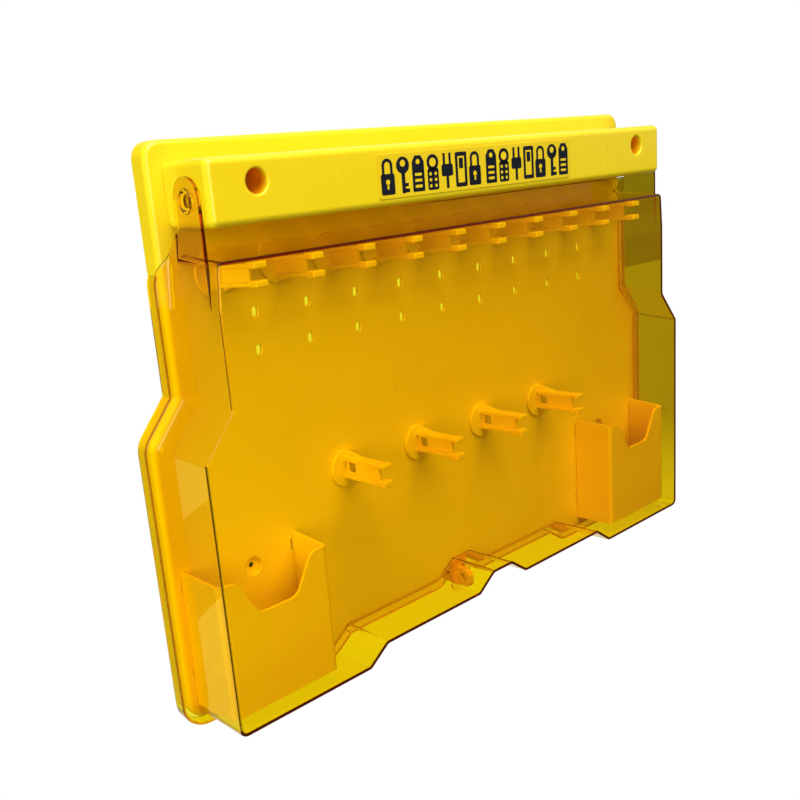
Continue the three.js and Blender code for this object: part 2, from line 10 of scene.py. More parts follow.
import bmesh
import bpy
from mathutils import Matrix, Vector


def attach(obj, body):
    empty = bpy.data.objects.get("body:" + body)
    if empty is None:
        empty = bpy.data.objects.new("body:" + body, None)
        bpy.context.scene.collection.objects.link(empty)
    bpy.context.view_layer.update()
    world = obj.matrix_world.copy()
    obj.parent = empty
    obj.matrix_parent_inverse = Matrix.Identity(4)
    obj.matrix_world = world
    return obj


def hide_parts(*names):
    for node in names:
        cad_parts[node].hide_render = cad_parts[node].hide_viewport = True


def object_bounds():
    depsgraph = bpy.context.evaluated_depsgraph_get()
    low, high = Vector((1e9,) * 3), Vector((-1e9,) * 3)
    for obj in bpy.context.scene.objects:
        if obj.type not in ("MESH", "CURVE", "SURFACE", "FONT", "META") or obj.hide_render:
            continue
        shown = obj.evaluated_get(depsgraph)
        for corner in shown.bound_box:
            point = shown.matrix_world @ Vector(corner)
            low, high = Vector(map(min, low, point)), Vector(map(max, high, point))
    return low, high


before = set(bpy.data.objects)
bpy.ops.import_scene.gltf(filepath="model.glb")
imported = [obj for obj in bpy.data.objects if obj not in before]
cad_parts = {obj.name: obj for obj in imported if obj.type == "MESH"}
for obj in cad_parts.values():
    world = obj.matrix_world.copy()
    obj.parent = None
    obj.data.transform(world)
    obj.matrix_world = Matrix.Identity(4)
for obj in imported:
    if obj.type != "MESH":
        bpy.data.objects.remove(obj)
cad_low, cad_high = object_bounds()

# ---------------------------------------------------------------- sizes shared with the CAD

MM = 0.001
GAP = 0.3
DATUM = 200.0  # height of the frame's origin above the datum

COVER_FRONT, COVER_WALL, DRAFT = 73.1, 2.2, 4.0
EDGE_OUT, EDGE_IN = 1.3, 0.6
FLANGE_WIDTH, FLANGE_THICK, FLANGE_ROUND, ROOT_ROUND = 10.8, 2.0, 1.5, 3.0
FLANGE_TOP, FLANGE_CORNER, SKIRT_BACK, SKIRT_TOP = 331.5, 20, 8.0, 319.5
UPPER_HALF, LOWER_HALF, TOP_HALF, COVER_TOP = 243.6, 267.0, 241.2, 328.6
NECK_FOOT, NECK_FRONT, NECK_TOP, NECK_THICK = 28.8, 32.0, 345.5, 1.8
RELIEF_FRONT, RELIEF_TOP, RELIEF_HALF = 33.0, 330.9, 236.0
PIVOT_DEPTH, PIVOT_HEIGHT = 49.2, 366.2
EAR_RADIUS, EAR_OUTER, EAR_INNER, EAR_FOOT, EAR_FLARE_TOP = 15.2, 244.6, 242.2, 299.0, 348.5
PIN_INNER_END, PIN_HEAD_BACK, PIN_HEAD_FACE = 234.0, 241.0, 245.4
PIN_DIAMETER, PIN_HEAD = 8.0, 16.2

BOARD_FRONT, BOARD_WALL, BOARD_TOP, BOARD_EDGE, BOARD_CORNER = 17.2, 2.5, 405.5, 4.0, 12
RIB_THICK, RIB_BACK, RIB_LOW, PAD_HALF, RIB_PLACES = 2.4, 1.0, 20, 30.0, (-161, -69, 69, 161)
HOLE_ROWS, HOLE_PITCH, HOLE_COUNT = (284.3, 256.7), 46.0, 9
TOP_SCREW, LOW_SCREW, SCREW_HOLE = (204.5, 375.0), (210.0, 97.2), 2.0
BOSS, SEAT, SEAT_FLOOR, SEAT_LIP = 10, 6.8, BOARD_FRONT - 4, 1.2

HEADER_HALF, HEADER_FRONT, HEADER_EDGE = 240.7, 71.2, 5.0
HEADER_BOTTOM, HEADER_TOP, HEADER_WALL = 348.6, 391.5, 2.5
SLEEVE, SLEEVE_BORE, SLEEVE_LIP, SLEEVE_FLOOR = 10.5, 8.1, 1.6, 2.5
LABEL_HALF, LABEL_TALL, LABEL_HEIGHT = 105.8, 15.4, 369.6

HOOK_PITCH, HOOK_DISC, HOOK_PEG, WEB_ROOT = 46.0, 15.7, 3.5, 18.5
UPPER_HOOKS = [((i - 4.5) * HOOK_PITCH, 317.0) for i in range(10)]
LOWER_HOOKS = [(x, 148.2) for x in (-116.3, -38.8, 38.8, 116.3)]

BIN_INNER, BIN_OUTER_BACK, BIN_OUTER_FRONT = 172.2, 266.9, 262.6
BIN_FRONT, BIN_TOP, BIN_WALL = 58.9, 113.3, 2.4
BIN_FLOOR_BACK, BIN_FLOOR_FRONT = 8.8, 12.3
MOUTH_FLOOR, MOUTH_TOP, MOUTH_LOW = 16, 31.5, 83.6  # half widths and lowest height of the finger cut
TAB_PLACES = (BIN_OUTER_BACK - BIN_WALL / 2, BIN_INNER + BIN_WALL / 2)
TAB_HEIGHTS = (102, 33)

# corners of the cover's right half, each with its rounding
LOWER_EDGE = [
    (11.2, 33.6, 5),
    (29.1, 20.2, 5),
    (132.4, 20.2, 5),
    (150.9, 6.6, 5),
    (LOWER_HALF, 6.6, 6),
    (LOWER_HALF, 204.1, 4),
    (UPPER_HALF, 233.2, 6),
]


def both_sides(right_half):
    """Corners of the right half, then the same ones mirrored, counter-clockwise from the front."""
    return right_half + [(-x, y, r) for x, y, r in reversed(right_half)]


# the flange and the board follow the cover's outline, moved outwards
FLANGE_OFFSET = DRAFT + FLANGE_WIDTH
BOARD_OFFSET = FLANGE_OFFSET - 5.4
COVER_CORNERS = both_sides(LOWER_EDGE + [(UPPER_HALF, 297.4, 20), (TOP_HALF, COVER_TOP, 4)])
FLANGE_CORNERS = both_sides(
    LOWER_EDGE + [(UPPER_HALF, FLANGE_TOP - FLANGE_OFFSET, FLANGE_CORNER - FLANGE_OFFSET)]
)
BOARD_CORNERS = both_sides(
    LOWER_EDGE + [(UPPER_HALF, BOARD_TOP - BOARD_OFFSET, BOARD_CORNER - BOARD_OFFSET)]
)

# ---------------------------------------------------------------- mesh helpers


def spot(x, depth, height):
    return Vector((x, -depth, height - DATUM)) * MM


def put(name, bm):
    bmesh.ops.recalc_face_normals(bm, faces=bm.faces)
    mesh = bpy.data.meshes.new(name)
    bm.to_mesh(mesh)
    bm.free()
    obj = bpy.data.objects.new(name, mesh)
    bpy.context.scene.collection.objects.link(obj)
    return obj


def skin(rings):
    """A closed solid through rings of points, every ring the same length."""
    bm = bmesh.new()
    made = [[bm.verts.new(p) for p in ring] for ring in rings]
    for near, far in zip(made, made[1:]):
        for i in range(len(near)):
            j = (i + 1) % len(near)
            bm.faces.new((near[i], near[j], far[j], far[i]))
    bm.faces.new(made[0])
    bm.faces.new(made[-1])
    return put("solid", bm)


def arc(x, y, radius, angles):
    return [(x + radius * math.cos(a), y + radius * math.sin(a)) for a in angles]


def outline(corners, distance=0.0, steps=8):
    """Points round corners of (x, y, radius), with every edge moved outwards by distance."""
    spots = [Vector((x, y)) for x, y, _ in corners]
    count = len(spots)
    normals = []
    for i, here in enumerate(spots):
        along = (spots[(i + 1) % count] - here).normalized()
        normals.append(Vector((along.y, -along.x)))
    points = []
    for i, here in enumerate(spots):
        before, after = normals[i - 1], normals[i]
        moved = here + (before + after) * (distance / (1 + before.dot(after)))
        turn = math.copysign(1.0, before.x * after.y - before.y * after.x)
        radius = max(corners[i][2] + turn * distance, 0.4)
        half = math.acos(max(-1.0, min(1.0, before.dot(after)))) / 2
        centre = moved + (before + after).normalized() * (-turn * radius / math.cos(half))
        start = math.atan2(turn * before.y, turn * before.x)
        angles = (start + turn * 2 * half * step / steps for step in range(steps + 1))
        points += arc(centre.x, centre.y, radius, angles)
    return points


def rectangle(left, right, low, high, radius):
    return [(left, low, radius), (right, low, radius), (right, high, radius), (left, high, radius)]


def circle(x, y, radius, steps=48):
    return arc(x, y, radius, (math.tau * i / steps for i in range(steps)))


def loft(sections):
    """Outlines in x and height, each at its own depth."""
    return skin([[spot(x, depth, y) for x, y in points] for points, depth in sections])


def plate(points, back, front):
    return loft([(points, back), (points, front)])


def side_plate(points, left, right):
    """An outline in depth and height, pushed along x."""
    return skin([[spot(x, depth, y) for depth, y in points] for x in (left, right)])


def block(xs, depths, heights):
    (left, right), (low, high) = xs, heights
    return plate([(left, low), (right, low), (right, high), (left, high)], *depths)


def rod_y(radius, x, height, back, front, steps=48):
    return plate(circle(x, height, radius, steps), back, front)


def rod_x(radius, depth, height, left, right, steps=48):
    return side_plate(circle(depth, height, radius, steps), left, right)


def quarter(steps):
    """(sine, one minus cosine) along a quarter turn, the start left out."""
    turns = (math.pi / 2 * i / steps for i in range(1, steps + 1))
    return [(math.sin(a), 1 - math.cos(a)) for a in turns]


def rounding(offset, front, radius, steps, across=None):
    """(offset, depth) pairs round an outer edge, ending at the front."""
    across = across or radius
    return [(offset - across * c, front - radius * (1 - s)) for s, c in quarter(steps)]


def mouth(grown, front, floor, lip):
    """A cutter for a hole with a rounded lip; grown(d) is its outline made d larger."""
    sections = [(grown(lip), front + 3), (grown(lip), front)]
    sections += [(grown(lip - lip * s), front - lip * c) for s, c in quarter(5)]
    return loft(sections + [(grown(0), floor)])


def bake(obj):
    graph = bpy.context.evaluated_depsgraph_get()
    mesh = bpy.data.meshes.new_from_object(obj.evaluated_get(graph))
    obj.modifiers.clear()
    obj.data = mesh
    return obj


def boolean(obj, tools, operation):
    for tool in tools:
        step = obj.modifiers.new(operation, "BOOLEAN")
        step.operation, step.object, step.solver = operation, tool, "MANIFOLD"
    bake(obj)
    for tool in tools:
        bpy.data.objects.remove(tool)
    return obj


def add(obj, *tools):
    return boolean(obj, tools, "UNION")


def cut(obj, *tools):
    return boolean(obj, tools, "DIFFERENCE")


def merge(objs):
    """One object from several, their solids left as they are."""
    bm = bmesh.new()
    for obj in objs:
        bm.from_mesh(obj.data)
        bpy.data.objects.remove(obj)
    return put("merged", bm)


def mirror(obj):
    obj.data.transform(Matrix.Scale(-1, 4, (1, 0, 0)))
    obj.data.flip_normals()
    return obj


def soften(obj, width=0.0, segments=2, crease=32):
    """Rounds the edges sharper than crease degrees and shades the rest smooth."""
    if width:
        bevel = obj.modifiers.new("round", "BEVEL")
        bevel.width, bevel.segments = width * MM, segments
        bevel.limit_method, bevel.angle_limit = "ANGLE", math.radians(crease)
        bevel.use_clamp_overlap = True
        bake(obj)
    obj.data.shade_smooth()
    obj.data.set_sharp_from_angle(angle=math.radians(crease + 8))
    weigh = obj.modifiers.new("flat", "WEIGHTED_NORMAL")
    weigh.keep_sharp = True
    return bake(obj)


def finish(obj, name, body, slot, material, *nodes):
    obj.name = obj.data.name = name
    obj.data.materials.clear()
    obj.data.materials.append(material)
    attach(obj, body)
    if nodes:
        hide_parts(*nodes)
    return obj


# ---------------------------------------------------------------- materials


class Nodes:
    """A material's node tree, with short calls for the nodes used here."""

    def __init__(self, name):
        self.material = bpy.data.materials.new(name)
        self.material.use_nodes = True
        self.tree = self.material.node_tree
        self.shader = self.tree.nodes["Principled BSDF"]
        self.where = self.tree.nodes.new("ShaderNodeTexCoord").outputs["Object"]

    def link(self, source, target):
        self.tree.links.new(source, target)

    def stretched(self, scale):
        mapping = self.tree.nodes.new("ShaderNodeMapping")
        mapping.inputs["Scale"].default_value = scale
        self.link(self.where, mapping.inputs["Vector"])
        return mapping.outputs["Vector"]

    def noise(self, scale, detail=2.0, vector=None, distortion=0.0):
        node = self.tree.nodes.new("ShaderNodeTexNoise")
        node.inputs["Scale"].default_value = scale
        node.inputs["Detail"].default_value = detail
        node.inputs["Distortion"].default_value = distortion
        self.link(vector or self.where, node.inputs["Vector"])
        return node.outputs["Fac"]

    def ramp(self, value, low, high, to_low, to_high):
        node = self.tree.nodes.new("ShaderNodeMapRange")
        limits = {"From Min": low, "From Max": high, "To Min": to_low, "To Max": to_high}
        for name, number in limits.items():
            node.inputs[name].default_value = number
        self.link(value, node.inputs["Value"])
        return node.outputs["Result"]

    def blend(self, amount, first, second):
        node = self.tree.nodes.new("ShaderNodeMix")
        node.data_type = "RGBA"
        node.inputs["A"].default_value = (*first, 1)
        node.inputs["B"].default_value = (*second, 1)
        self.link(amount, node.inputs["Factor"])
        return node.outputs["Result"]

    def over(self, amount, under, colour):
        """A plain colour laid over the output under by amount."""
        node = self.tree.nodes.new("ShaderNodeMix")
        node.data_type = "RGBA"
        node.inputs["B"].default_value = (*colour, 1)
        self.link(amount, node.inputs["Factor"])
        self.link(under, node.inputs["A"])
        return node.outputs["Result"]

    def math(self, operation, first, second=None):
        node = self.tree.nodes.new("ShaderNodeMath")
        node.operation = operation
        for socket, value in zip(node.inputs, (first, second)):
            if isinstance(value, (int, float)):
                socket.default_value = value
            elif value is not None:
                self.link(value, socket)
        return node.outputs[0]

    def path(self):
        return self.tree.nodes.new("ShaderNodeLightPath").outputs

    def show(self, amount, first, second):
        """Shows the first shader, turning into the second by amount."""
        mix = self.tree.nodes.new("ShaderNodeMixShader")
        self.link(amount, mix.inputs["Fac"])
        self.link(first.outputs[0], mix.inputs[1])
        self.link(second.outputs[0], mix.inputs[2])
        self.link(mix.outputs[0], self.tree.nodes["Material Output"].inputs["Surface"])

    def axes(self):
        split = self.tree.nodes.new("ShaderNodeSeparateXYZ")
        self.link(self.where, split.inputs[0])
        return split.outputs

    def bump(self, height, strength, distance, normal=None):
        node = self.tree.nodes.new("ShaderNodeBump")
        node.inputs["Strength"].default_value = strength
        node.inputs["Distance"].default_value = distance
        self.link(height, node.inputs["Height"])
        if normal:
            self.link(normal, node.inputs["Normal"])
        return node.outputs["Normal"]


def moulded(name, colour, shade, rough=(0.26, 0.36), grain=0.05, glow=0.0, gloss=0.5, painted_shade=None):
    """Opaque moulded plastic: flow variation in the colour, fine grain and a little waviness."""
    n = Nodes(name)
    flow = n.noise(7, 2, n.stretched((1, 1, 2.5)), 0.3)
    base = n.blend(n.ramp(flow, 0.35, 0.7, 0, 1), colour, shade)
    # painted shade: the colour changes inside holes, where shade falls
    if painted_shade:
        base = painted_shade(n, base)
    n.link(base, n.shader.inputs["Base Color"])
    smears = n.noise(24, 2, n.stretched((1, 1, 0.5)))
    n.link(n.ramp(smears, 0.3, 0.7, *rough), n.shader.inputs["Roughness"])
    waves = n.bump(n.noise(16, 1), 0.02, 0.0015)
    n.link(n.bump(n.noise(2600, 2), grain, 0.00006, waves), n.shader.inputs["Normal"])
    n.shader.inputs["IOR"].default_value = 1.5
    n.shader.inputs["Specular IOR Level"].default_value = gloss
    if glow:
        n.shader.inputs["Subsurface Weight"].default_value = glow
        n.shader.inputs["Subsurface Radius"].default_value = (1.0, 0.55, 0.08)
        n.shader.inputs["Subsurface Scale"].default_value = 0.004
    return n.material


def painted_hole_shade(centre, radius, depths, shade_colour):
    """Paints shade on the walls of a pair of screw holes, coming in between two depths."""

    def painted_shade(n, colour):
        x, y, z = n.axes()
        across = n.math("SUBTRACT", n.math("ABSOLUTE", x), centre[0] * MM)
        up = n.math("SUBTRACT", z, (centre[1] - DATUM) * MM)
        squares = [n.math("MULTIPLY", side, side) for side in (across, up)]
        away = n.math("SQRT", n.math("ADD", *squares))
        inside = n.math("LESS_THAN", away, radius * MM)
        deep = n.ramp(y, -depths[0] * MM, -depths[1] * MM, 0, 1)
        return n.over(n.math("MULTIPLY", inside, deep), colour, shade_colour)

    return painted_shade


def amber_glass(name, density):
    """Clear amber sheet: coloured by the length of plastic looked through, faint handling marks and a
    faint painted glow.
    """
    n = Nodes(name)
    n.shader.inputs["Base Color"].default_value = (1, 1, 1, 1)
    n.shader.inputs["Transmission Weight"].default_value = 1.0
    n.shader.inputs["IOR"].default_value = 1.46
    n.shader.inputs["Specular IOR Level"].default_value = 0.3
    # painted glow: a faint red-orange emission all over the sheet stands in for light carried inside
    # the plastic
    n.shader.inputs["Emission Color"].default_value = (*PAINTED_GLOW, 1)  # keeps long edges red-brown
    n.shader.inputs["Emission Strength"].default_value = 0.012
    n.material.cycles.emission_sampling = "NONE"
    scuffs = n.noise(60, 5, n.stretched((1, 1, 0.15)), 2.0)
    n.link(n.ramp(scuffs, 0.55, 0.8, 0.012, 0.07), n.shader.inputs["Roughness"])
    n.link(n.bump(n.noise(14, 1), 0.035, 0.002), n.shader.inputs["Normal"])
    clear = n.tree.nodes.new("ShaderNodeBsdfTransparent")
    path = n.path()
    n.show(n.math("MAXIMUM", path["Is Shadow Ray"], path["Is Diffuse Ray"]), n.shader, clear)
    absorb = n.tree.nodes.new("ShaderNodeVolumeAbsorption")
    absorb.inputs["Color"].default_value = (*AMBER_TINT, 1)
    absorb.inputs["Density"].default_value = density
    n.link(absorb.outputs[0], n.tree.nodes["Material Output"].inputs["Volume"])
    return n.material


YELLOW = (0.94, 0.69, 0.009)
AMBER_TINT, PAINTED_GLOW = (0.99375, 0.95625, 0.0), (1.0, 0.2, 0.0)

# painted shade: the walls of the lower screw holes turn near black below the seat's floor, where shade
# falls
screw_shade = painted_hole_shade(
    LOW_SCREW, SCREW_HOLE + 0.3, (SEAT_FLOOR - 0.1, SEAT_FLOOR - 1.5), (0.03, 0.016, 0.002)
)
# painted shade: inside the header's sleeve bores the yellow turns deep orange with depth, standing in
# for the shade and bounced light there
sleeve_shade = painted_hole_shade(TOP_SCREW, 9, (HEADER_FRONT - 1, HEADER_FRONT - 7), (1.0, 0.38, 0.0))
board_plastic = moulded("board plastic", YELLOW, (0.91, 0.65, 0.007), painted_shade=screw_shade)
header_plastic = moulded(
    "header plastic", YELLOW, (0.92, 0.66, 0.007), (0.22, 0.32), 0.04, glow=0.15, painted_shade=sleeve_shade
)
hook_plastic = moulded("hook plastic", (0.95, 0.69, 0.009), (0.91, 0.63, 0.007), (0.28, 0.4), 0.07)
bin_plastic = moulded("bin plastic", (0.94, 0.68, 0.009), (0.90, 0.62, 0.007), (0.26, 0.38))
label_film = moulded("label film", (0.88, 0.62, 0.005), (0.85, 0.59, 0.004), (0.34, 0.42))
label_ink = moulded(
    "label ink", (0.006, 0.008, 0.014), (0.010, 0.012, 0.019), (0.5, 0.6), 0.1, gloss=0.15
)
amber = amber_glass("clear amber", 1600)
stud_amber = amber_glass("clear amber stud", 600)

# ---------------------------------------------------------------- back board


def board_shell():
    edge = [(BOARD_OFFSET, 0.6), (BOARD_OFFSET, BOARD_FRONT - BOARD_EDGE)]
    edge += rounding(BOARD_OFFSET, BOARD_FRONT, BOARD_EDGE, 8)
    sections = [(outline(BOARD_CORNERS, BOARD_OFFSET - 0.6), 0)]
    shell = loft(sections + [(outline(BOARD_CORNERS, offset), depth) for offset, depth in edge])
    inside = outline(BOARD_CORNERS, BOARD_OFFSET - BOARD_WALL)
    return cut(shell, plate(inside, -1, BOARD_FRONT - BOARD_WALL))


def back_board():
    panel = BOARD_FRONT - BOARD_WALL + 0.5
    screws = [(side * x, height) for x, height in (TOP_SCREW, LOW_SCREW) for side in (-1, 1)]
    parts = [block((-PAD_HALF, PAD_HALF), (0, panel), (DATUM - PAD_HALF, DATUM + PAD_HALF))]
    for x in RIB_PLACES:
        rib = (x - RIB_THICK / 2, x + RIB_THICK / 2)
        parts.append(block(rib, (RIB_BACK, panel), (RIB_LOW, BOARD_TOP - 2)))
    for height in (DATUM - PAD_HALF, DATUM + PAD_HALF):
        rib = (height - RIB_THICK / 2, height + RIB_THICK / 2)
        parts.append(block((-HEADER_HALF, HEADER_HALF), (RIB_BACK, panel), rib))
    parts += [rod_y(BOSS, x, height, 0, panel) for x, height in screws]
    tongue = [(-8, -2, 6), (8, -2, 6), (8, 26, 0.4), (-8, 26, 0.4)]
    parts.append(plate(outline(tongue), 0, BOARD_FRONT))
    board = add(board_shell(), *parts)

    holes = []
    for height in HOLE_ROWS:
        for i in range(HOLE_COUNT):
            x = (i - (HOLE_COUNT - 1) / 2) * HOLE_PITCH
            slot = rectangle(x - 2.3, x + 2.3, height - 3.7, height + 3.7, 2.2)
            holes.append(mouth(lambda d: outline(slot, d, 6), BOARD_FRONT, -1, 0.8))
    for x, height in UPPER_HOOKS + LOWER_HOOKS:
        holes.append(rod_y(HOOK_PEG + GAP, x, height, -1, BOARD_FRONT + 1, 32))
    for side in (-1, 1):
        for x in TAB_PLACES:
            for height in TAB_HEIGHTS:
                slot = rectangle(side * x - 2.5, side * x + 2.5, height - 5, height + 5, 0.6)
                holes.append(mouth(lambda d: outline(slot, d, 4), BOARD_FRONT, BOARD_WALL, 0.5))
    for place in screws[2:]:
        holes.append(mouth(lambda d: circle(*place, SEAT + d), BOARD_FRONT, SEAT_FLOOR, SEAT_LIP))
    cut(board, merge(holes))
    cut(board, merge([rod_y(SCREW_HOLE, *place, -1, BOARD_FRONT + 1, 32) for place in screws]))
    return cut(board, block((-2.9, 2.9), (-1, BOARD_FRONT + 1), (0.7, 18.5)))  # the lug's slot


finish(soften(back_board()), "board_shell", "station", "board", board_plastic, "back_board")


def padlock_lug():
    points = outline([(4, 1, 0.4), (32.8, 1, 7), (32.8, 18.2, 7), (4, 18.2, 0.4)], 0, 12)
    return cut(side_plate(points, -2.6, 2.6), rod_x(4, 24.8, 9.8, -6, 6))


finish(soften(padlock_lug(), 0.5, 3), "lug_blade", "station", "board", board_plastic, "padlock_lug")

# ---------------------------------------------------------------- header and label


def header_box():
    outer = rectangle(-HEADER_HALF, HEADER_HALF, HEADER_BOTTOM, HEADER_TOP, HEADER_EDGE)
    back = BOARD_FRONT + GAP
    edge = [(0, back), (0, HEADER_FRONT - HEADER_EDGE)]
    edge += rounding(0, HEADER_FRONT, HEADER_EDGE, 10, HEADER_EDGE - 0.1)
    shell = loft([(outline(outer, offset, 10), depth) for offset, depth in edge])
    cut(shell, plate(outline(outer, -HEADER_WALL), back - 5, HEADER_FRONT - HEADER_WALL))
    x, height = TOP_SCREW
    sleeves = [rod_y(SLEEVE, side * x, height, back, HEADER_FRONT - 1) for side in (-1, 1)]
    add(shell, *sleeves)
    floor = back + SLEEVE_FLOOR
    holes = []
    for side in (-1, 1):
        place = (side * x, height)
        holes.append(
            mouth(lambda d: circle(*place, SLEEVE_BORE + d), HEADER_FRONT, floor, SLEEVE_LIP)
        )
        holes.append(rod_y(SCREW_HOLE, *place, back - 5, floor + 1, 32))
        ends = sorted((side * (HEADER_HALF + 5), side * PIN_INNER_END))
        holes.append(rod_x(PIN_DIAMETER / 2 + GAP, PIVOT_DEPTH, PIVOT_HEIGHT, *ends))
    return cut(shell, *holes)


finish(soften(header_box()), "header_shell", "station", "board", header_plastic, "header_box")


def label_plate():
    low, high = LABEL_HEIGHT - LABEL_TALL, LABEL_HEIGHT + LABEL_TALL
    corners = rectangle(-LABEL_HALF, LABEL_HALF, low, high, 1.5)
    back = HEADER_FRONT + GAP
    sections = [(0, back), (0, back + 0.35), (-0.15, back + 0.5)]
    return loft([(outline(corners, offset), depth) for offset, depth in sections])


finish(soften(label_plate()), "label_film", "station", "label", label_film, "label_plate")


def ring(x, y, outer, inner):
    return [circle(x, y, outer), circle(x, y, inner)]


def bar(left, right, low, high, radius=0.4):
    return outline(rectangle(left, right, low, high, radius), 0, 5)


def arch(half, thick, low, centre):
    """An upside-down U, such as a shackle."""
    turns = [math.pi * i / 24 for i in range(25)]
    outer = arc(0, centre, half, turns)
    inner = arc(0, centre, half - thick, reversed(turns))
    return [(half, low), *outer, (-half, low), (thick - half, low), *inner, (half - thick, low)]


# each pictogram is a list of shapes, and each shape is an outline with its holes
PICTOGRAMS = {
    "padlock": [
        [bar(-5.6, 5.6, -11.6, 1.6, 1.4), circle(0, -3.6, 1.7), bar(-0.8, 0.8, -8.2, -5.4)],
        [arch(4.4, 2.1, 1.2, 6.8)],
    ],
    "key": [
        [circle(0, 6.2, 5.4), circle(0, 7.4, 2.2)],
        [bar(-1.5, 1.5, -11.6, 1.4)],
        [bar(1.2, 4.9, -11.2, -8.8)],
        [bar(1.2, 4.1, -7.4, -5.2)],
    ],
    "tag": [
        [
            outline(
                [(-5.2, -11.6, 1), (5.2, -11.6, 1), (5.2, 7.4, 1)]
                + [(2.6, 11.6, 1), (-2.6, 11.6, 1), (-5.2, 7.4, 1)]
            ),
            circle(0, 7.6, 1.7),
            bar(-3, 3, -1.4, 0.4),
            bar(-3, 3, -5.2, -3.4),
            bar(-3, 3, -9, -7.2),
        ]
    ],
    "hasp": [
        [bar(-4.9, 4.9, -11.6, 2.6, 1.6)]
        + [circle(x, y, 1.15, 24) for x in (-2.3, 2.3) for y in (-8.8, -4.9, -1.0)],
        ring(0, 6.4, 5.2, 2.9),
    ],
    "plug": [
        [bar(-5.2, 5.2, -3.6, 4.4, 1.6)],
        [bar(-3.7, -1.6, 4.2, 11.6)],
        [bar(1.6, 3.7, 4.2, 11.6)],
        [bar(-1.2, 1.2, -11.6, -3.4)],
    ],
    "switch": [
        [bar(-5.4, 5.4, -11.6, 11.6, 1.2), bar(-3.1, 3.1, -8.8, 8.8)],
        [bar(-1.9, 1.9, 0.6, 7.6)],
    ],
}
LABEL_ROWS = {
    -97.2: ("padlock", "key", "tag", "hasp", "plug", "switch", "padlock"),
    9.4: ("tag", "hasp", "plug", "switch", "padlock", "key", "tag"),
}
PICTOGRAM_PITCH, PICTOGRAM_SCALE, PICTOGRAM_LIFT = 14.7, (1.14, 1.1), 0.82


def pictogram(shapes, x, height):
    parts = []
    for shape in shapes:
        curve = bpy.data.curves.new("ink", "CURVE")
        curve.dimensions, curve.fill_mode, curve.extrude = "2D", "BOTH", 0.05 * MM
        for points in shape:
            line = curve.splines.new("POLY")
            line.points.add(len(points) - 1)
            line.use_cyclic_u = True
            for mark, (u, v) in zip(line.points, points):
                mark.co = (u * PICTOGRAM_SCALE[0] * MM, v * PICTOGRAM_SCALE[1] * MM, 0, 1)
        drawn = bpy.data.objects.new("ink", curve)
        bpy.context.scene.collection.objects.link(drawn)
        bpy.context.view_layer.update()
        part = bpy.data.objects.new("ink", bpy.data.meshes.new_from_object(drawn))
        bpy.data.objects.remove(drawn)
        place = Matrix.Translation(spot(x, HEADER_FRONT + PICTOGRAM_LIFT, height))
        part.data.transform(place @ Matrix.Rotation(math.pi / 2, 4, "X"))
        parts.append(part)
    return parts


def label_print():
    parts = []
    for start, row in LABEL_ROWS.items():
        for i, name in enumerate(row):
            parts += pictogram(PICTOGRAMS[name], start + PICTOGRAM_PITCH * i, LABEL_HEIGHT)
    return merge(parts)


finish(label_print(), "label_print", "station", "label", label_ink)

# ---------------------------------------------------------------- cover


def draft_at(depth):
    return DRAFT * (COVER_FRONT - depth) / (COVER_FRONT - BOARD_FRONT - GAP)


def case_sections(thick, root, edge, floor):
    """Rings of the case from behind its flared root to its rounded front edge, set in by thick."""
    base = BOARD_FRONT + GAP + FLANGE_THICK + ROOT_ROUND
    front = COVER_FRONT - (COVER_WALL if thick else 0)
    rings = [(draft_at(base) - thick + root, floor)]
    flare = draft_at(base) - thick
    rings += [(flare + root * (1 - s), base - root * (1 - c)) for s, c in quarter(8)]
    rings += [(draft_at(front - edge) - thick, front - edge)]
    rings += rounding(draft_at(front) - thick, front, edge, 8)
    return [(outline(COVER_CORNERS, offset), depth) for offset, depth in rings]


def cover_flange():
    foot = BOARD_FRONT + GAP
    front = foot + FLANGE_THICK
    rings = [(FLANGE_OFFSET - 0.4, SKIRT_BACK), (FLANGE_OFFSET, SKIRT_BACK + 0.4)]
    rings += [(FLANGE_OFFSET, front - FLANGE_ROUND)]
    rings += rounding(FLANGE_OFFSET, front, FLANGE_ROUND, 6)
    flange = loft([(outline(FLANGE_CORNERS, offset), depth) for offset, depth in rings])
    behind = plate(outline(FLANGE_CORNERS, FLANGE_OFFSET - FLANGE_THICK), -1, foot)
    at_tongue = block((-12, 12), (-2, foot), (-11, 33.6))
    side = UPPER_HALF + BOARD_OFFSET + 0.4
    at_ears = block((-side, side), (-2, foot), (EAR_FOOT, FLANGE_TOP + 5))
    at_top = block((-LOWER_HALF, LOWER_HALF), (-2, foot), (SKIRT_TOP, FLANGE_TOP + 5))
    cut(flange, behind, at_tongue, at_ears, at_top)
    tongue = outline([(-12, -6, 10), (12, -6, 10), (12, 26.2, 0.4), (-12, 26.2, 0.4)])
    return add(flange, plate(tongue, foot, front))


def ear_outline():
    foot = BOARD_FRONT + GAP
    points = [(foot, EAR_FOOT), (PIVOT_DEPTH + EAR_RADIUS, EAR_FOOT)]
    points += arc(PIVOT_DEPTH, PIVOT_HEIGHT, EAR_RADIUS, (math.pi * i / 48 for i in range(49)))
    return points + [(PIVOT_DEPTH - EAR_RADIUS, EAR_FLARE_TOP), (foot, FLANGE_TOP)]


def cover_ear(side):
    return side_plate(ear_outline(), *sorted((side * EAR_INNER, side * EAR_OUTER)))


def neck_panel():
    shelf = COVER_TOP + draft_at(NECK_FOOT) - COVER_WALL + 0.1
    points = [(NECK_FOOT - NECK_THICK, shelf), (NECK_FOOT, shelf)]
    points += [(NECK_FRONT, NECK_TOP - 0.6), (NECK_FRONT - 0.6, NECK_TOP)]
    points += [(NECK_FRONT - NECK_THICK, NECK_TOP)]
    return side_plate(points, -EAR_INNER - 1, EAR_INNER + 1)


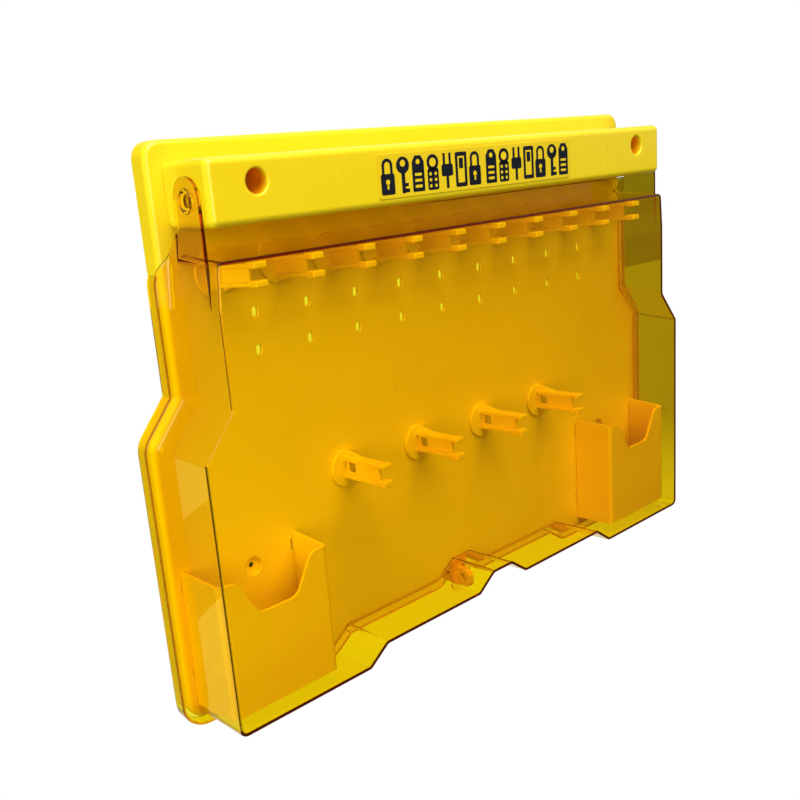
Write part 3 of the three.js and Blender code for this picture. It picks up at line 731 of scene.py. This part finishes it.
def hook_relief():
    """A taper under the case's top wall, which clears the hooks as the cover swings."""
    back, low = NECK_FOOT - NECK_THICK, COVER_TOP - 6
    inside = COVER_TOP + draft_at(RELIEF_FRONT) - COVER_WALL
    points = [(back - 1, low), (RELIEF_FRONT, low), (RELIEF_FRONT, inside)]
    points += [(back, RELIEF_TOP), (back - 1, RELIEF_TOP)]
    return side_plate(points, -RELIEF_HALF, RELIEF_HALF)


def cover_shell():
    shell = loft(case_sections(0, ROOT_ROUND, EDGE_OUT, BOARD_FRONT + GAP))
    add(shell, cover_flange(), cover_ear(-1), cover_ear(1))
    cut(shell, loft(case_sections(COVER_WALL, ROOT_ROUND + FLANGE_THICK, EDGE_IN, -1)))
    above_hooks = (5, NECK_FOOT - NECK_THICK)
    cut(shell, block((-EAR_INNER, EAR_INNER), above_hooks, (COVER_TOP - 6, NECK_TOP)))
    add(shell, neck_panel())
    holes = [hook_relief(), block((-3.8, 3.8), (5, 25.2), (-1.2, 19.4))]
    for side in (-1, 1):
        ends = sorted((side * (EAR_OUTER + 5), side * (EAR_INNER - 5)))
        holes.append(rod_x(PIN_HEAD / 2 + GAP, PIVOT_DEPTH, PIVOT_HEIGHT, *ends, 64))
    return cut(shell, *holes)


finish(soften(cover_shell(), 0, 2, 26), "cover_shell", "cover", "cover", amber, "cover")


def pivot_pin(side):
    """A stud: its broad head fills the ear's hole, with a raised rim round a shallow dome."""
    shaft, radius, end = PIN_DIAMETER / 2, PIN_HEAD / 2, PIN_HEAD_FACE
    profile = [(shaft - 0.4, PIN_INNER_END), (shaft, PIN_INNER_END + 0.4), (shaft, PIN_HEAD_BACK)]
    profile += [(radius - 0.3, PIN_HEAD_BACK), (radius, PIN_HEAD_BACK + 0.3), (radius, end - 0.8)]
    profile += rounding(radius, end, 0.8, 4)
    profile += [(6.4, end), (6.1, end - 0.15), (5.6, end - 1.0), (5.2, end - 1.15)]
    profile += [(4.2, end - 0.8), (2.4, end - 0.45), (1.0, end - 0.35)]
    rings = []
    for r, x in profile:
        turn = circle(0, 0, r)
        rings.append([spot(side * x, PIVOT_DEPTH + u, PIVOT_HEIGHT + v) for u, v in turn])
    return skin(rings)


for side, word in ((-1, "left"), (1, "right")):
    pin = soften(pivot_pin(side), 0, 2, 40)
    finish(pin, f"pivot_stud_{word}", "station", "pin", stud_amber, f"pivot_pin_{word}")

# ---------------------------------------------------------------- hooks


def prong(x, root_height, tip_height, thick, half, tip, tip_thick, tip_half):
    """A tapering bar out of the board, with a block or a lip at its tip."""
    root, end = BOARD_FRONT + GAP + 1, tip[1]
    bar_points = [(root, root_height - thick / 2), (end - 1, tip_height - thick / 2)]
    bar_points += [(end - 1, tip_height + thick / 2), (root, root_height + thick / 2)]
    shaft = soften(side_plate(bar_points, x - half, x + half), 0.5, 3)
    block_range = (tip_height - tip_thick / 2, tip_height + tip_thick / 2)
    cap = block((x - tip_half, x + tip_half), tip, block_range)
    return [shaft, soften(cap, 0.9, 3)]


def hook_disc(x, height):
    back = BOARD_FRONT + GAP
    rings = [(HOOK_DISC - 0.2, back), (HOOK_DISC, back + 0.2), (HOOK_DISC, back + 1.4)]
    rings += [(HOOK_DISC - 0.9 * c, back + 1.4 + 0.9 * s) for s, c in quarter(5)]
    disc = loft([(circle(x, height, r, 64), depth) for r, depth in rings])
    return [soften(disc), soften(rod_y(HOOK_PEG, x, height, back - 6, back + 1, 24), 0.4, 2)]


def web(points, x, height, half):
    """A plate along the hook's middle, its outline in depth and height from the hook's centre."""
    return side_plate([(depth, height + rise) for depth, rise in points], x - half, x + half)


def upper_hook(x, height):
    tip = (58, 67.5)
    parts = prong(x, height + 2.6, height + 5.6, 3, 4, tip, 4.6, 5)
    parts += prong(x, height - 10.2, height - 6.7, 3, 4, tip, 4.6, 5)
    between = [(WEB_ROOT, 3), (WEB_ROOT, -10), (54, -7.5), (54, 4.5)]
    gusset = [(WEB_ROOT, -9), (WEB_ROOT, -14), (42, -8.5)]
    parts += [soften(web(points, x, height, 1.2), 0.4, 2) for points in (between, gusset)]
    return merge(parts + hook_disc(x, height))


def lower_hook(x, height):
    tip = (60, 68)
    parts = prong(x, height + 8.4, height + 10.8, 3.2, 4.2, tip, 3.7, 4.5)
    parts += prong(x, height - 6.2, height - 3.2, 3.2, 4.2, tip, 5.2, 4.5)
    panel = web([(WEB_ROOT, 8.5), (WEB_ROOT, -6), (59, -4), (59, 10)], x, height, 1.2)
    cut(panel, block((x - 3, x + 3), (22, 30), (height - 2.5, height + 5)))
    gusset = web([(WEB_ROOT, 14.4), (WEB_ROOT, 8), (44, 10.6)], x, height, 2.2)
    parts += [soften(piece, 0.4, 2) for piece in (panel, gusset)]
    return merge(parts + hook_disc(x, height))


for word, shape, places in (("upper", upper_hook, UPPER_HOOKS), ("lower", lower_hook, LOWER_HOOKS)):
    for i, place in enumerate(places, 1):
        node = f"hook_{word}_{i}"
        finish(shape(*place), f"{word}_hook_{i}", "station", "hook", hook_plastic, node)

# ---------------------------------------------------------------- bins


def bin_plan(inset):
    back = BOARD_FRONT + GAP - (5 if inset else 0)
    front = BIN_FRONT - inset
    radius = 4 - inset / 2
    corners = [(BIN_INNER + inset, -front, radius), (BIN_OUTER_FRONT - inset, -front, radius)]
    corners += [(BIN_OUTER_BACK - inset, -back, 0.4), (BIN_INNER + inset, -back, 0.4)]
    return outline(corners, 0, 10)


def bin_block(inset, raised):
    """The bin's plan pushed up from its sloping floor."""
    slope = (BIN_FLOOR_FRONT - BIN_FLOOR_BACK) / (BIN_FRONT - BOARD_FRONT)
    plan = bin_plan(inset)
    floor = [spot(x, -y, BIN_FLOOR_BACK + raised + slope * (-y - BOARD_FRONT)) for x, y in plan]
    return skin([floor, [spot(x, -y, BIN_TOP + 2 * raised) for x, y in plan]])


def bin_tray(side):
    tray = cut(bin_block(0, 0), bin_block(BIN_WALL, BIN_WALL))
    middle = (BIN_INNER + BIN_OUTER_FRONT) / 2
    past = MOUTH_TOP + 6 * (MOUTH_TOP - MOUTH_FLOOR) / (BIN_TOP - MOUTH_LOW) + 20
    half = [(MOUTH_FLOOR, MOUTH_LOW, 9), (MOUTH_TOP, BIN_TOP - 1, 8)]
    half += [(past, BIN_TOP + 0.2, 0.4), (past, BIN_TOP + 8, 0.4)]
    finger = [(middle + x, y, r) for x, y, r in half]
    finger += [(middle - x, y, r) for x, y, r in reversed(half)]
    cut(tray, plate(outline(finger, 0, 10), BIN_FRONT - BIN_WALL - 3, BIN_FRONT + 3))
    tabs = []
    for x in TAB_PLACES:
        for height in TAB_HEIGHTS:
            tabs.append(block((x - 1, x + 1), (11, BOARD_FRONT + 2), (height - 4, height + 4)))
    add(tray, *tabs)
    return soften(tray if side > 0 else mirror(tray), 0.7, 3)


for side, word in ((-1, "left"), (1, "right")):
    finish(bin_tray(side), f"bin_tray_{word}", "station", "bin", bin_plastic, f"bin_{word}")

# ---------------------------------------------------------------- floor, light and camera

# The camera sees a white floor and backdrop. Other rays see them dim in front and to the left, so that
# the cover mirrors nothing pale, and lit behind, where they show through it.
FLOOR_DROP, FLOOR_EDGE = 0.25, ((-8, -3), (8, -3), (8, 2.1), (-8, 2.1))
FLOOR_DIM, FLOOR_LIT, FLOOR_FAR = 0.03, 0.88, 0.36
SKY_LOW, SKY_HIGH, SKY_CARD, SKY_BACK, SKY_SIDE = 0.04, 0.5, 0.9, 0.19, 0.6
THROUGH = 0.45  # sky and floor at the sides, for what shows through the amber
CARD_COLOUR = (0.75, 0.95, 0.22)  # two pale patches on the floor, mirrored in the cover's left wall


def cards(n, x, y):
    """One inside the two patches and zero elsewhere; both have slanting edges."""
    reach = n.math("ADD", y, n.math("MULTIPLY", x, 0.414))
    far = n.math("MULTIPLY", n.math("GREATER_THAN", reach, 0.4965), n.math("LESS_THAN", y, 1.35))
    near = n.math("MULTIPLY", n.math("LESS_THAN", reach, 0.249), n.math("GREATER_THAN", y, 0))
    near = n.math("MULTIPLY", near, n.math("LESS_THAN", x, -0.42))
    side = n.math("ADD", n.math("MULTIPLY", x, 0.2505), n.math("MULTIPLY", y, 0.184))
    return n.math("MULTIPLY", n.math("MAXIMUM", near, far), n.math("LESS_THAN", side, -0.0544))


def stage_floor():
    bm = bmesh.new()
    for x, y in FLOOR_EDGE:
        bm.verts.new((x, y, cad_low.z - FLOOR_DROP))
    bm.faces.new(bm.verts)
    floor = put("floor", bm)
    n = Nodes("pale floor")
    glow, paper = (n.tree.nodes.new("ShaderNodeEmission") for _ in range(2))
    x, y, _ = n.axes()
    path = n.path()
    behind = n.math("MULTIPLY", n.ramp(y, -0.1, 0.2, 0, 1), n.ramp(x, -0.5, -0.15, 0, 1))
    level = n.math("MULTIPLY", behind, n.ramp(x, 0.7, 1.3, FLOOR_LIT, FLOOR_FAR))
    least = n.ramp(path["Is Transmission Ray"], 0, 1, FLOOR_DIM, THROUGH)
    least = n.math("MULTIPLY", least, n.ramp(x, 0.4, 0.8, 1, 0))
    level = n.math("MAXIMUM", n.math("MAXIMUM", level, least), FLOOR_DIM)
    mirrored = n.math("MULTIPLY", cards(n, x, y), path["Is Reflection Ray"])
    shade = n.over(mirrored, n.blend(level, (0, 0, 0), (1, 1, 1)), CARD_COLOUR)
    n.link(shade, glow.inputs["Color"])
    n.show(path["Is Camera Ray"], glow, paper)
    n.material.cycles.emission_sampling = "NONE"
    floor.data.materials.append(n.material)


def softbox(name, place, size, power):
    lamp = bpy.data.lights.new(name, "AREA")
    lamp.shape, lamp.size, lamp.size_y, lamp.energy = "RECTANGLE", *size, power
    obj = bpy.data.objects.new(name, lamp)
    obj.location = place
    obj.rotation_euler = (-Vector(place)).to_track_quat("-Z", "Y").to_euler()
    bpy.context.scene.collection.objects.link(obj)
    return obj


def backdrop():
    world = bpy.data.worlds.new("studio")
    bpy.context.scene.world = world
    world.use_nodes = True
    tree = world.node_tree
    split = tree.nodes.new("ShaderNodeSeparateXYZ")
    tree.links.new(tree.nodes.new("ShaderNodeTexCoord").outputs["Generated"], split.inputs[0])
    x, y, z = split.outputs
    path = tree.nodes.new("ShaderNodeLightPath").outputs

    def fade(value, low, high, first, second):
        """The first shade, turning into the second as value goes from low to high."""
        ramp, mix = tree.nodes.new("ShaderNodeMapRange"), tree.nodes.new("ShaderNodeMix")
        ramp.inputs["From Min"].default_value, ramp.inputs["From Max"].default_value = low, high
        mix.data_type = "RGBA"
        tree.links.new(value, ramp.inputs["Value"])
        tree.links.new(ramp.outputs["Result"], mix.inputs["Factor"])
        for name, shade in (("A", first), ("B", second)):
            if isinstance(shade, float):
                mix.inputs[name].default_value = (shade, shade, shade, 1)
            else:
                tree.links.new(shade, mix.inputs[name])
        return mix.outputs["Result"]

    least = fade(path["Is Transmission Ray"], 0, 1, SKY_LOW, THROUGH)
    behind = fade(x, 0.1, 0.4, least, fade(x, 0.79, 0.815, SKY_CARD, SKY_BACK))
    right = fade(z, -0.03, 0.03, least, fade(x, 0.6, 0.8, least, SKY_SIDE))
    around = fade(z, 0.48, 0.8, fade(y, -0.3, 0.3, right, behind), SKY_HIGH)
    seen = fade(path["Is Camera Ray"], 0, 1, around, 1.0)
    tree.links.new(seen, tree.nodes["Background"].inputs["Color"])


stage_floor()
backdrop()
softbox("key", (-0.25, -1.6, 1.7), (1.5, 1.0), 32.5)
softbox("overhead", (0, -0.5, 2.2), (1.6, 1.0), 22)
softbox("fill", (-0.9, -2.0, 0.3), (1.2, 1.0), 12)
softbox("side", (-2.2, -0.5, 0.4), (1.2, 1.0), 32).visible_glossy = False
rear = softbox("behind", (0, 1.9, 0.4), (1.4, 1.0), 16)
rear.visible_transmission = rear.visible_glossy = False
bpy.context.scene.view_settings.view_transform = "Standard"

CAMERA_PLACE = Vector((-0.51975, -0.55873, 0.18436))
YAW, PITCH, ROLL = (math.radians(a) for a in (39.599, -14.083, 4.651))
LENS, SENSOR, SHIFT = 40.38885, 36, (0.0220875, -0.0236375)

camera = bpy.data.objects.new("camera", bpy.data.cameras.new("camera"))
camera.data.sensor_width, camera.data.lens = SENSOR, LENS
camera.data.shift_x, camera.data.shift_y = SHIFT
ahead = Vector((math.sin(YAW) * math.cos(PITCH), math.cos(YAW) * math.cos(PITCH), math.sin(PITCH)))
level = Vector((math.cos(YAW), -math.sin(YAW), 0))
down = ahead.cross(level)
right = math.cos(ROLL) * level + math.sin(ROLL) * down
down = math.cos(ROLL) * down - math.sin(ROLL) * level
turn = Matrix((right, -down, -ahead)).transposed().to_4x4()
camera.matrix_world = Matrix.Translation(CAMERA_PLACE) @ turn
bpy.context.scene.collection.objects.link(camera)
bpy.context.scene.camera = camera
